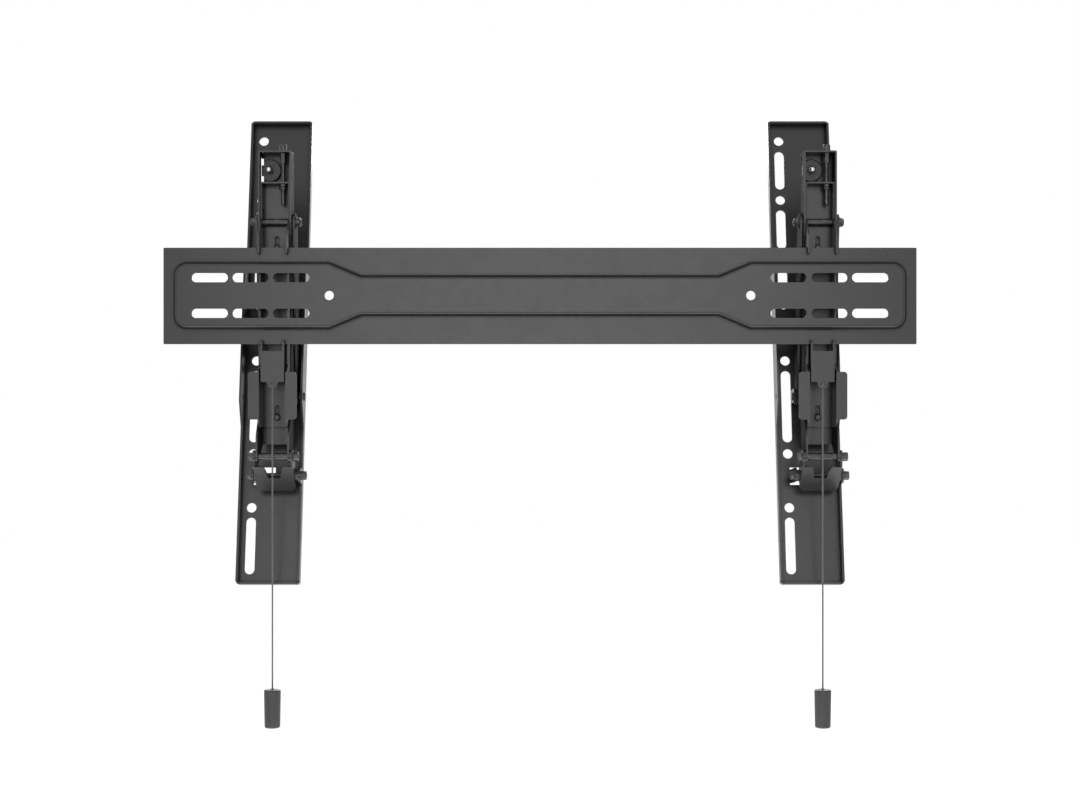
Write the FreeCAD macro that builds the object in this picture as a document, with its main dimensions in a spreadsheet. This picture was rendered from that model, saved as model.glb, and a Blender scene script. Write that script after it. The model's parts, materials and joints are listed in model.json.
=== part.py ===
import FreeCAD, Part
import math
import os
import re
import Sketcher

# A tilting wall bracket for a flat screen. Millimetres. The wall is the plane Y = 0, the room lies
# toward +Y, +Z is up, and the origin is the middle of the wall plate's slot pattern on its wall side.
# The left and the right side are the same assembly, each built about its own channel's middle plane.

SIZES = {
    # Wall plate: a flat rim, and a dog-bone field pressed out of it toward the wall
    "plate_length": 687,
    "plate_height": 88,
    "plate_sheet": 2,
    "plate_corner": 1,
    "field_depth": 7,
    "field_half_length": 331.5,
    "field_half_height": 28.4,
    "field_corner": 10,
    "shoulder_half_length": 192,
    "waist_half_length": 163,
    "waist_half_height": 16.3,
    "field_slope": 2.5,
    "field_outer_bend": 2.4,
    "field_inner_bend": 0.9,
    "wall_slot_length": 33,
    "wall_slot_width": 8.4,
    "wall_slot_row": 32.4,
    "wall_slot_first": 226,
    "wall_slot_pitch": 37,
    "wall_slot_columns": 3,
    "wall_hole_width": 8.4,
    "wall_hole_spacing": 383,
    # Where the two assemblies hang, and how far an upright's middle lies beside its channel's
    "left_channel": -243.4,
    "right_channel": 257.2,
    "rail_shift": -6.85,
    # Pivots at the tilt shown, seen from the side
    "tilt": 12,
    "upper_pivot_y": 26.7,
    "upper_pivot_z": 69.1,
    "lower_pivot_y": 6.5,
    "lower_pivot_z": -146.5,
    "foot_pivot_y": 26.7,
    "foot_pivot_z": -164.5,
    # Upright
    "rail_width": 59,
    "rail_length": 450,
    "rail_sheet": 2,
    "rail_bend": 2,
    "rail_flange": 9.3,
    "rail_lip": 7,
    "rail_notch": 2.5,
    "lip_round": 1,
    "link_pivot_down": 275,
    "link_pivot_out": 13.7,
    "foot_pivot_down": 350.8,
    "foot_pivot_out": 19.2,
    "hump_height": 24.5,
    "hump_top": 155,
    "hump_end": 281,
    "hump_ramp": 22,
    "hump_round": 6,
    "foot_ear_half_width": 7,
    "foot_ear_round": 6.5,
    "foot_ear_reach": 6.6,
    "ear_half_width": 6.4,
    "ear_reach": 7.2,
    "ear_round": 6,
    "ear_lean": 2.6,
    "ear_window": 19,
    "ear_window_half": 8.3,
    "ear_relief": 1.2,
    "screen_hole": 9,
    "screen_hole_side": -18.2,
    "screen_hole_1": 18,
    "screen_hole_2": 78,
    "screen_hole_3": 237.5,
    "screen_hole_4": 327,
    "screen_hole_spacing": 300,
    "screen_slot_1_top": 28.6,
    "screen_slot_1_end": 67.1,
    "screen_slot_2_top": 88.1,
    "screen_slot_2_end": 126.9,
    "screen_slot_3_top": 148,
    "screen_slot_3_end": 187,
    "screen_slot_4_top": 247.4,
    "screen_slot_4_end": 316,
    "screen_slot_5_top": 387.3,
    "screen_slot_5_end": 440,
    # Bolts and pins
    "bolt": 4.5,
    "bolt_end": 1,
    "bolt_clearance": 0.1,
    "pin": 5,
    "open_pivot_clearance": 0.8,
    "running_gap": 0.1,
    "upper_head": 8.4,
    "upper_head_height": 3.8,
    "upper_head_bevel": 1.4,
    "small_head": 8.4,
    "small_head_height": 5.2,
    "small_head_bevel": 0.5,
    "key_flats": 4,
    "nut_flats": 7.4,
    "nut_height": 3.6,
    "washer": 10.4,
    "washer_sheet": 1.2,
    "spacer": 6.6,
    "spacer_gap": 0.3,
    "pin_head": 8,
    "pin_head_height": 1.5,
    "lug_gap": 0.4,
    # Hook channel
    "hook_width": 27,
    "hook_sheet": 1.5,
    "hook_web_back": 33.5,
    "hook_top": 105.5,
    "hook_front": 17.5,
    "hook_bottom": -120,
    "hook_reach": 6,
    "hook_wall_gap": 2,
    "hook_shoulder": 56,
    "seat_gap": 0.3,
    "foot_top": -69.3,
    "foot_bottom": -112.7,
    "foot_half_width": 22,
    "foot_corner": 3,
    "hook_corner": 1.5,
    "rivet_slot_width": 4.5,
    "rivet_shank": 4,
    "rivet_head": 5.6,
    "upper_rivet_z": 45.7,
    "lower_rivet_z": -111,
    "level_up": 9,
    "level_down": 1,
    # Carriage
    "carriage_sheet": 1.5,
    "carriage_side_gap": 0.15,
    "carriage_web_back": 36,
    "carriage_top": 134,
    "carriage_front": 15.3,
    "carriage_tip": 56,
    "carriage_waist": 23,
    "carriage_web_bottom": -135,
    "carriage_ear": 5.4,
    "carriage_ear_round": 5.1,
    "carriage_neck": -100,
    "carriage_chin": -128,
    "channel_bend": 1.4,
    # Level screw and its nut
    "screw_side": 6.8,
    "screw_y": 23.2,
    "screw_bottom": 84.4,
    "screw_shank": 3.9,
    "screw_head": 7,
    "screw_head_height": 5.4,
    "collar_flats": 5.5,
    "collar_height": 9,
    "level_nut_flats": 7.4,
    "level_nut_height": 4.2,
    "level_washer": 9.2,
    "level_washer_sheet": 0.9,
    # Thumbwheel
    "wheel_side": -6.4,
    "wheel_z": 117.4,
    "wheel_width": 20.6,
    "wheel_back": 34,
    "wheel_thickness": 4.5,
    "wheel_boss": 7,
    "wheel_boss_height": 1.6,
    "wheel_notches": 24,
    "wheel_notch": 1.2,
    "stud": 5,
    "stud_front": 19,
    "wheel_window_gap": 1.3,
    "wheel_window_front": 24.7,
    "wheel_window_side": 12.8,
    # Links
    "link_side_gap": 0.85,
    "link_sheet": 2,
    "link_half_width": 8,
    "link_round": 7.6,
    "link_web_front": 10.8,
    "flap_offset": 7.5,
    "flap_start": 4,
    "flap_end": 38.1,
    "flap_corner": 6,
    "flap_side_end": 31.1,
    "flap_notch_top": 17,
    "flap_notch_bottom": 11,
    "flap_notch_depth": 15.6,
    "arm_half_width": 6,
    "arm_round": 5.7,
    # Latch
    "latch_width": 21.4,
    "latch_sheet": 1.5,
    "latch_front": 1.5,
    "latch_back": 26,
    "latch_plate_top": -50.4,
    "latch_bottom": -78.6,
    "latch_tip": 3.4,
    "latch_travel": 9,
    "tongue_top_width": 10.5,
    "tongue_end_width": 7.4,
    "tongue_length": 5.2,
    "tongue_corner": 2.4,
    "latch_pin": 3,
    "latch_pin_y": 20.5,
    "latch_pin_z": -62,
    "latch_pin_clearance": 0.1,
    "spring_y": 12,
    "spring_width": 7,
    "spring_wire": 0.9,
    "spring_turns": 5,
    "spring_seat_top": -74.5,
    "spring_seat_half_width": 5,
    "spring_tab_back": 17,
    # Cord and handle
    "cord": 1.5,
    "cord_clearance": 0.2,
    "knot": 4.2,
    "knot_height": 3.8,
    "knot_bevel": 1.1,
    "knot_down": 2.6,
    "handle_top": -358.2,
    "handle_length": 34.8,
    "handle_top_width": 15.3,
    "handle_end_width": 14.2,
    "handle_bevel": 1.2,
    "handle_mouth": 4,
    "handle_mouth_depth": 1.5,
}

doc = FreeCAD.newDocument("TiltingBracket")
sheet = doc.addObject("Spreadsheet::Sheet", "Sizes")
for row, (alias, number) in enumerate(SIZES.items(), start=1):
    sheet.set("A%d" % row, alias.replace("_", " "))
    sheet.set("B%d" % row, str(number))
    sheet.setAlias("B%d" % row, alias)
doc.recompute()

# Places that follow from the sizes, as expressions of the sheet's names
rim_back = "(field_depth + plate_sheet)"
rim_half = "(plate_height / 2)"
hook_half = "(hook_width / 2)"
hook_inner = "(hook_width / 2 - hook_sheet)"
carriage_inner = "(hook_width / 2 + carriage_side_gap)"
carriage_half = "(hook_width / 2 + carriage_side_gap + carriage_sheet)"
link_inner = "(hook_width / 2 + carriage_side_gap + carriage_sheet + link_side_gap)"
link_half = "(hook_width / 2 + carriage_side_gap + carriage_sheet + link_side_gap + link_sheet)"
rail_half = "(rail_width / 2)"
rail_right_inner = "(rail_width / 2 - rail_sheet + rail_shift)"
latch_half = "(latch_width / 2)"
latch_inner = "(latch_width / 2 - latch_sheet)"
cord_y = "(latch_front + latch_sheet / 2)"
# The upright's middle and top edge, set so that its foot pivot lies where the lower link puts it
rail_y = "(foot_pivot_y + foot_pivot_out * cos(tilt) + foot_pivot_down * sin(tilt))"
rail_z = "(foot_pivot_z - foot_pivot_out * sin(tilt) + foot_pivot_down * cos(tilt))"
# The upper link's lower end, which is the upright's link pivot
link_y = "(%s - link_pivot_out * cos(tilt) - link_pivot_down * sin(tilt))" % rail_y
link_z = "(%s + link_pivot_out * sin(tilt) - link_pivot_down * cos(tilt))" % rail_z
link_length = "sqrt((%s - upper_pivot_y)^2 + (%s - upper_pivot_z)^2)" % (link_y, link_z)
link_angle = "atan2(%s - upper_pivot_y; upper_pivot_z - %s)" % (link_y, link_z)
arm_length = "sqrt((foot_pivot_y - lower_pivot_y)^2 + (foot_pivot_z - lower_pivot_z)^2)"
arm_angle = "atan2(foot_pivot_y - lower_pivot_y; lower_pivot_z - foot_pivot_z)"

PLANES = {"YZ": "YZ_Plane", "XZ": "XZ_Plane", "XY": "XY_Plane"}
AXES = {"X": "X_Axis", "Y": "Y_Axis", "Z": "Z_Axis"}


def bind(text):
    """The expression with every size name pointing into the sheet."""
    return re.sub(
        r"[a-z][a-z0-9_]*", lambda word: "Sizes." + word[0] if word[0] in SIZES else word[0], str(text)
    )


def value(text):
    """The expression's number."""
    found = sheet.evalExpression(bind(text))
    return float(getattr(found, "Value", found))


class Drawing:
    """The lines, arcs and rules of one sketch, gathered before they go into it together."""

    def __init__(self):
        self.shapes = []
        self.rules = []
        self.ties = []

    def add(self, shape, guide=False):
        self.shapes.append((shape, guide))
        return len(self.shapes) - 1

    def rule(self, *terms):
        self.rules.append(Sketcher.Constraint(*terms))

    def tie(self, text, *terms):
        """A rule whose number follows an expression of the sizes."""
        self.ties.append((len(self.rules), text))
        self.rule(*terms, value(text))

    def pin(self, shape, position, x, y):
        """Ties one point of a shape to its two coordinates."""
        self.tie(x, "DistanceX", -1, 1, shape, position)
        self.tie(y, "DistanceY", -1, 1, shape, position)

    def fill(self, sketch):
        for shape, guide in self.shapes:
            sketch.addGeometry(shape, guide)
        sketch.addConstraint(self.rules)
        for number, text in self.ties:
            sketch.setExpression("Constraints[%d]" % number, bind(text))


def vector(x, y):
    return FreeCAD.Vector(value(x), value(y), 0)


def rounded_corner(before, corner, after, radius):
    """The arc that rounds a corner, and its two ends in the outline's order."""
    back = (before - corner).normalize()
    ahead = (after - corner).normalize()
    half = back.getAngle(ahead) / 2
    start = corner + back * (radius / math.tan(half))
    end = corner + ahead * (radius / math.tan(half))
    centre = corner + (back + ahead).normalize() * (radius / math.sin(half))
    first = math.atan2(start.y - centre.y, start.x - centre.x)
    last = math.atan2(end.y - centre.y, end.x - centre.x)
    turns_left = back.cross(ahead).z < 0
    if not turns_left:
        first, last = last, first
    if last < first:
        last += 2 * math.pi
    arc = Part.ArcOfCircle(Part.Circle(centre, FreeCAD.Vector(0, 0, 1), radius), first, last)
    return arc, start, end, turns_left


def outline(*corners):
    """A closed outline of straight lines; a corner with a third value is rounded to that radius."""

    def draw(drawing):
        points = [vector(corner[0], corner[1]) for corner in corners]
        count = len(points)
        starts = list(points)
        ends = list(points)
        arcs = {}
        for i, corner in enumerate(corners):
            if len(corner) > 2:
                arc, end, start, turns_left = rounded_corner(
                    points[i - 1], points[i], points[(i + 1) % count], value(corner[2])
                )
                starts[i] = start
                ends[i] = end
                arcs[i] = (drawing.add(arc), turns_left)
        lines = [drawing.add(Part.LineSegment(starts[i], ends[(i + 1) % count])) for i in range(count)]
        for i, corner in enumerate(corners):
            before = lines[i - 1]
            after = lines[i]
            if i not in arcs:
                drawing.rule("Coincident", before, 2, after, 1)
                drawing.pin(after, 1, corner[0], corner[1])
                continue
            arc, turns_left = arcs[i]
            first, last = (1, 2) if turns_left else (2, 1)
            drawing.rule("Tangent", before, 2, arc, first)
            drawing.rule("Tangent", after, 1, arc, last)
            drawing.tie(corner[2], "Radius", arc)
            point = drawing.add(Part.Point(points[i]), guide=True)
            drawing.rule("PointOnObject", point, 1, before)
            drawing.rule("PointOnObject", point, 1, after)
            drawing.pin(point, 1, corner[0], corner[1])

    return draw


def block(x0, x1, y0, y1, radius=None):
    """A rectangle between two pairs of coordinates, with rounded corners where a radius is given."""
    corners = [(x0, y0), (x1, y0), (x1, y1), (x0, y1)]
    return outline(*[corner + ((radius,) if radius else ()) for corner in corners])


def circle(x, y, width):
    def draw(drawing):
        radius = "(%s) / 2" % width
        ring = drawing.add(Part.Circle(vector(x, y), FreeCAD.Vector(0, 0, 1), value(radius)))
        drawing.tie(radius, "Radius", ring)
        drawing.pin(ring, 3, x, y)

    return draw


def slot(x0, y0, x1, y1, width):
    """A slot with round ends about two centres."""

    def draw(drawing):
        radius = "(%s) / 2" % width
        a = vector(x0, y0)
        b = vector(x1, y1)
        up = FreeCAD.Vector(0, 0, 1)
        side = up.cross((b - a).normalize()) * value(radius)
        heading = math.atan2(side.y, side.x)
        half_turn = heading + math.pi
        near = drawing.add(Part.ArcOfCircle(Part.Circle(a, up, value(radius)), heading, half_turn))
        turn = half_turn + math.pi
        far = drawing.add(Part.ArcOfCircle(Part.Circle(b, up, value(radius)), half_turn, turn))
        right = drawing.add(Part.LineSegment(a - side, b - side))
        left = drawing.add(Part.LineSegment(b + side, a + side))
        drawing.rule("Tangent", near, 2, right, 1)
        drawing.rule("Tangent", right, 2, far, 1)
        drawing.rule("Tangent", far, 2, left, 1)
        drawing.rule("Tangent", left, 2, near, 1)
        drawing.rule("Equal", near, far)
        drawing.tie(radius, "Radius", near)
        drawing.pin(near, 3, x0, y0)
        drawing.pin(far, 3, x1, y1)

    return draw


def hexagon(x, y, flats):
    """Six corners about a centre, with two flats across Y."""
    reach = "(%s) / sqrt(3)" % flats
    corners = [
        ("%s + %s * cos(%d)" % (x, reach, 60 * i), "%s + %s * sin(%d)" % (y, reach, 60 * i))
        for i in range(6)
    ]
    return outline(*corners)


class Piece:
    """One physical piece, built as a body whose sketches and features follow the sheet."""

    def __init__(self, name):
        self.body = doc.addObject("PartDesign::Body", name)
        self.body.Label = name
        self.steps = 0

    def datum(self, role):
        return [item for item in self.body.Origin.OriginFeatures if item.Role == role][0]

    def sketch(self, plane, offset, drawings):
        self.steps += 1
        sketch = self.body.newObject("Sketcher::SketchObject", "%s_sketch%d" % (self.body.Name, self.steps))
        sketch.AttachmentSupport = [(self.datum(PLANES[plane]), "")]
        sketch.MapMode = "FlatFace"
        sketch.setExpression("AttachmentOffset.Base.z", bind(offset))
        drawing = Drawing()
        for draw in drawings:
            draw(drawing)
        drawing.fill(sketch)
        sketch.Visibility = False
        return sketch

    def feature(self, kind, sketch):
        feature = self.body.newObject("PartDesign::" + kind, "%s_%s%d" % (self.body.Name, kind, self.steps))
        if sketch is not None:
            feature.Profile = sketch
        return feature

    def offset_of(self, plane, low, high):
        """Where the sketch lies so that its own normal leads from one end of the feature to the other."""
        return "-(%s)" % high if plane == "XZ" else low

    def pad(self, plane, low, high, *drawings):
        """Adds what the drawings enclose, from low to high along the plane's axis."""
        feature = self.feature("Pad", self.sketch(plane, self.offset_of(plane, low, high), drawings))
        feature.setExpression("Length", bind("(%s) - (%s)" % (high, low)))
        doc.recompute()
        return feature

    def cut(self, plane, low, high, *drawings):
        """Takes away what the drawings enclose, from low to high along the plane's axis."""
        before = self.body.Shape.Volume
        feature = self.feature("Pocket", self.sketch(plane, self.offset_of(plane, low, high), drawings))
        feature.setExpression("Length", bind("(%s) - (%s)" % (high, low)))
        feature.Reversed = True
        doc.recompute()
        if self.body.Shape.Volume >= before:
            raise RuntimeError("%s removes nothing" % feature.Name)
        return feature

    def turn(self, plane, axis, *drawings):
        """Adds what the drawings sweep about an axis through the body's own origin."""
        feature = self.feature("Revolution", self.sketch(plane, "0", drawings))
        feature.ReferenceAxis = (self.datum(AXES[axis]), [""])
        feature.Angle = 360
        doc.recompute()
        return feature

    def loft(self, kind, plane, lower, upper):
        """Joins two outlines, each given with its own offset."""
        first = self.sketch(plane, lower[0], [lower[1]])
        last = self.sketch(plane, upper[0], [upper[1]])
        feature = self.feature(kind, first)
        feature.Sections = [last]
        feature.Ruled = True
        doc.recompute()
        return feature

    def pattern_round(self, axis, count):
        """Repeats the last feature about an axis."""
        pattern = self.body.newObject("PartDesign::PolarPattern", self.body.Name + "_pattern")
        pattern.Originals = [self.body.Tip]
        pattern.Axis = (self.datum(AXES[axis]), [""])
        pattern.setExpression("Occurrences", bind(count))
        self.body.Tip = pattern
        doc.recompute()

    def bend(self, radius, *edges):
        """Rounds straight edges, each given as its direction and the line it lies on."""
        names = []
        for number, edge in enumerate(self.body.Tip.Shape.Edges, start=1):
            if edge.Curve.TypeId != "Part::GeomLine":
                continue
            for direction, place in edges:
                runs = abs(getattr(edge.Curve.Direction, direction)) > 1 - 1e-6
                middle = edge.CenterOfMass
                off = [abs(getattr(middle, key) - value(text)) for key, text in place.items()]
                if runs and max(off) < 0.01:
                    names.append("Edge%d" % number)
        return self.fillet(radius, names)

    def soften(self, radius, key, depth, within):
        """Rounds every edge that lies at one depth and inside an outer frame."""
        names = []
        for number, edge in enumerate(self.body.Tip.Shape.Edges, start=1):
            corners = [vertex.Point for vertex in edge.Vertexes]
            level = max(abs(getattr(corner, key) - value(depth)) for corner in corners) < 0.01
            inside = all(
                max(abs(getattr(corner, side)) for corner in corners) < value(text)
                for side, text in within.items()
            )
            if level and inside:
                names.append("Edge%d" % number)
        return self.fillet(radius, names)

    def fillet(self, radius, names):
        if not names:
            raise RuntimeError("%s has no edge to round" % self.body.Name)
        base = self.body.Tip
        self.steps += 1
        fillet = self.body.newObject("PartDesign::Fillet", "%s_bend%d" % (self.body.Name, self.steps))
        fillet.Base = (base, names)
        fillet.setExpression("Radius", bind(radius))
        doc.recompute()
        return fillet

    def place(self, x, y="0", z="0", angle=None):
        """Puts the body's own origin at a point, turned about X by an angle in degrees."""
        place_object(self.body, x, y, z, angle)
        return self.body


def place_object(thing, x, y="0", z="0", angle=None):
    if angle is not None:
        turned = FreeCAD.Rotation(FreeCAD.Vector(1, 0, 0), value(angle))
        thing.Placement = FreeCAD.Placement(FreeCAD.Vector(0, 0, 0), turned)
        thing.setExpression("Placement.Rotation.Angle", bind(angle))
    thing.setExpression("Placement.Base.x", bind(x))
    thing.setExpression("Placement.Base.y", bind(y))
    thing.setExpression("Placement.Base.z", bind(z))


nodes = []


def keep(piece):
    """Lists a finished body or group as one of the bracket's sub-parts."""
    nodes.append(getattr(piece, "body", piece))


def group(name, bodies):
    """Several loose pieces of one kind under one name."""
    together = doc.addObject("Part::Compound", name)
    together.Label = name
    together.Links = [piece.body for piece in bodies]
    doc.recompute()
    nodes.append(together)


# The wall plate


def field_outline(grow):
    """The dog-bone outline, grown all round."""
    ends = "(field_half_length + %s)" % grow
    high = "(field_half_height + %s)" % grow
    low = "(waist_half_height + %s)" % grow
    shoulder = "shoulder_half_length"
    waist = "waist_half_length"
    corner = "(field_corner + %s)" % grow
    return outline(
        ("-" + ends, "-" + high, corner),
        ("-" + shoulder, "-" + high),
        ("-" + waist, "-" + low),
        (waist, "-" + low),
        (shoulder, "-" + high),
        (ends, "-" + high, corner),
        (ends, high, corner),
        (shoulder, high),
        (waist, low),
        ("-" + waist, low),
        ("-" + shoulder, high),
        ("-" + ends, high, corner),
    )


def wall_plate():
    plate = Piece("wall_plate")
    plate.pad(
        "XZ",
        "field_depth",
        rim_back,
        block("-plate_length / 2", "plate_length / 2", "-" + rim_half, rim_half, "plate_corner"),
    )
    field = (("0", field_outline("0")), ("-field_depth", field_outline("field_slope")))
    plate.loft("AdditiveLoft", "XZ", *field)
    plate.loft(
        "SubtractiveLoft",
        "XZ",
        ("-plate_sheet", field_outline("-plate_sheet / 4")),
        ("-" + rim_back, field_outline("(field_slope - plate_sheet / 4)")),
    )
    for radius, depth in (
        ("field_outer_bend", "0"),
        ("field_outer_bend", rim_back),
        ("field_inner_bend", "field_depth"),
        ("field_inner_bend", "plate_sheet"),
    ):
        plate.soften(radius, "y", depth, {"x": "plate_length / 2 - 1", "z": rim_half + " - 1"})
    slots = []
    for column in range(int(value("wall_slot_columns"))):
        for side in ("-", ""):
            middle = "%s(wall_slot_first + %d * wall_slot_pitch)" % (side, column)
            reach = "(wall_slot_length - wall_slot_width) / 2"
            ends = ("%s - %s" % (middle, reach), "%s + %s" % (middle, reach))
            for row in ("-wall_slot_row / 2", "wall_slot_row / 2"):
                slots.append(slot(ends[0], row, ends[1], row, "wall_slot_width"))
    plate.cut("XZ", "-plate_sheet", "2 * plate_sheet", *slots)
    plate.cut(
        "XZ",
        "-plate_sheet",
        "2 * plate_sheet",
        circle("-wall_hole_spacing / 2", "0", "wall_hole_width"),
        circle("wall_hole_spacing / 2", "0", "wall_hole_width"),
    )
    keep(plate)


# The upright


def flange(*ear):
    """A side flange seen from the side: a strip with one long hump, and an ear near its foot if given."""
    return outline(
        ("rail_sheet", "-rail_notch"),
        ("rail_sheet", "rail_notch - rail_length"),
        ("-rail_flange", "rail_notch - rail_length"),
        *ear,
        ("-rail_flange", "-hump_end - hump_ramp"),
        ("-hump_height", "-hump_end", "hump_round"),
        ("-hump_height", "-hump_top", "hump_round"),
        ("-rail_flange", "hump_ramp - hump_top"),
        ("-rail_flange", "-rail_notch"),
    )


def lanced_ear(rail, down, out, face):
    """An ear bent toward the wall out of its window, which reaches past the bend above and below it."""
    back = "(-%s - rail_sheet - rail_shift)" % face
    front = "(%s + rail_sheet)" % back
    root = "(ear_lean - %s)" % down
    tip = "(-%s - ear_reach)" % out
    window = outline(
        (back + " - ear_relief", root + " - ear_window_half"),
        (back + " + ear_window", root + " - ear_window_half"),
        (back + " + ear_window", root + " + ear_window_half"),
        (back + " - ear_relief", root + " + ear_window_half"),
        (back + " - ear_relief", root + " + ear_half_width"),
        (front, root + " + ear_half_width"),
        (front, root + " - ear_half_width"),
        (back + " - ear_relief", root + " - ear_half_width"),
    )
    rail.cut("XZ", "-rail_sheet", "2 * rail_sheet", window)
    rail.pad(
        "YZ",
        back,
        front,
        outline(
            ("rail_sheet", root + " - ear_half_width"),
            (tip, "-%s - ear_half_width" % down, "ear_round"),
            (tip, "-%s + ear_half_width" % down, "ear_round"),
            ("rail_sheet", root + " + ear_half_width"),
        ),
    )


def upright(side, channel):
    rail = Piece(side + "_upright")
    notch_x = "(%s - rail_notch)" % rail_half
    rail.pad(
        "XZ",
        "0",
        "rail_sheet",
        outline(
            ("-" + rail_half, "-rail_notch"),
            ("-" + rail_half, "rail_notch - rail_length"),
            ("-" + notch_x, "rail_notch - rail_length"),
            ("-" + notch_x, "-rail_length"),
            (notch_x, "-rail_length"),
            (notch_x, "rail_notch - rail_length"),
            (rail_half, "rail_notch - rail_length"),
            (rail_half, "-rail_notch"),
            (notch_x, "-rail_notch"),
            (notch_x, "0"),
            ("-" + notch_x, "0"),
            ("-" + notch_x, "-rail_notch"),
        ),
    )
    ear_tip = "(-foot_pivot_out - foot_ear_reach)"
    ear_top = "(foot_ear_half_width - foot_pivot_down)"
    ear_end = "(-foot_ear_half_width - foot_pivot_down)"
    foot_ear = (
        ("-rail_flange", ear_end),
        (ear_tip, ear_end, "foot_ear_round"),
        (ear_tip, ear_top, "foot_ear_round"),
        ("-rail_flange", ear_top),
    )
    rail.pad("YZ", "-" + rail_half, "-%s + rail_sheet" % rail_half, flange())
    rail.pad("YZ", "%s - rail_sheet" % rail_half, rail_half, flange(*foot_ear))
    rail.bend(
        "rail_bend",
        ("z", {"x": "-" + rail_half, "y": "rail_sheet"}),
        ("z", {"x": rail_half, "y": "rail_sheet"}),
    )
    for low, high in (("-rail_sheet", "0"), ("-rail_length", "rail_sheet - rail_length")):
        rail.pad(
            "XY",
            low,
            high,
            outline(
                ("-" + notch_x, "0"),
                ("-" + notch_x, "-rail_lip", "lip_round"),
                (notch_x, "-rail_lip", "lip_round"),
                (notch_x, "0"),
            ),
        )
    lanced_ear(rail, "foot_pivot_down", "foot_pivot_out", rail_right_inner)
    lanced_ear(rail, "link_pivot_down", "link_pivot_out", "(%s + lug_gap)" % link_half)
    x = "screen_hole_side"
    holes = [circle(x, "-screen_hole_%d" % number, "screen_hole") for number in range(1, 5)]
    holes.append(circle(x, "-screen_hole_2 - screen_hole_spacing", "screen_hole"))
    for number in range(1, 6):
        top = "-screen_slot_%d_top - screen_hole / 2" % number
        end = "-screen_slot_%d_end + screen_hole / 2" % number
        holes.append(slot(x, top, x, end, "screen_hole"))
    rail.cut("XZ", "-rail_sheet", "2 * rail_sheet", *holes)
    rail.cut(
        "YZ",
        "-" + rail_half,
        rail_half,
        circle("-foot_pivot_out", "-foot_pivot_down", "bolt + bolt_clearance"),
        circle("-link_pivot_out", "-link_pivot_down", "pin + bolt_clearance"),
    )
    rail.place("%s + rail_shift" % channel, rail_y, rail_z, "-tilt")
    keep(rail)


# The carriage, the outer channel that carries both links


def carriage(side, channel):
    frame = Piece(side + "_carriage")
    ear_front = "(lower_pivot_y - carriage_ear)"
    ear_bottom = "(lower_pivot_z - carriage_ear)"
    frame.pad(
        "YZ",
        "-" + carriage_half,
        carriage_half,
        outline(
            ("carriage_web_back", "carriage_web_bottom"),
            ("carriage_web_back", "carriage_top"),
            ("carriage_front", "carriage_top"),
            ("carriage_front", "carriage_tip"),
            ("carriage_waist", "carriage_tip - (carriage_waist - carriage_front)"),
            ("carriage_waist", "carriage_neck"),
            (ear_front, "carriage_chin"),
            (ear_front, ear_bottom, "carriage_ear_round"),
            ("lower_pivot_y + carriage_ear", ear_bottom, "carriage_ear_round"),
        ),
    )
    frame.cut(
        "YZ",
        "-" + carriage_inner,
        carriage_inner,
        block(
            "-carriage_web_back",
            "carriage_web_back - carriage_sheet",
            "2 * lower_pivot_z",
            "carriage_top - carriage_sheet",
        ),
    )
    frame.bend(
        "channel_bend",
        ("z", {"x": "-" + carriage_half, "y": "carriage_web_back"}),
        ("z", {"x": carriage_half, "y": "carriage_web_back"}),
        ("y", {"x": "-" + carriage_half, "z": "carriage_top"}),
        ("y", {"x": carriage_half, "z": "carriage_top"}),
        ("x", {"y": "carriage_web_back", "z": "carriage_top"}),
    )
    bore = "bolt + bolt_clearance"
    frame.cut(
        "YZ",
        "-" + carriage_half,
        carriage_half,
        circle("upper_pivot_y", "upper_pivot_z", bore),
        circle("lower_pivot_y", "lower_pivot_z", bore),
    )
    frame.cut(
        "XZ",
        "carriage_web_back - 2 * carriage_sheet",
        "carriage_web_back + carriage_sheet",
        circle("0", "upper_rivet_z", "rivet_shank + bolt_clearance"),
        circle("0", "lower_rivet_z", "rivet_shank + bolt_clearance"),
        circle("wheel_side", "wheel_z", "stud + bolt_clearance"),
    )
    frame.cut(
        "XY",
        "carriage_top - 2 * carriage_sheet",
        "carriage_top + carriage_sheet",
        circle("screw_side", "screw_y", "screw_shank + 2 * running_gap"),
    )
    reach = "(wheel_width / 2 + wheel_window_gap)"
    frame.cut(
        "YZ",
        "-carriage_sheet - " + carriage_half,
        "-wheel_window_side",
        block(
            "wheel_window_front",
            "carriage_web_back + carriage_sheet",
            "wheel_z - " + reach,
            "wheel_z + " + reach,
        ),
    )
    frame.place(channel)
    keep(frame)


# The hook channel, which hangs on the wall plate inside the carriage


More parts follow.
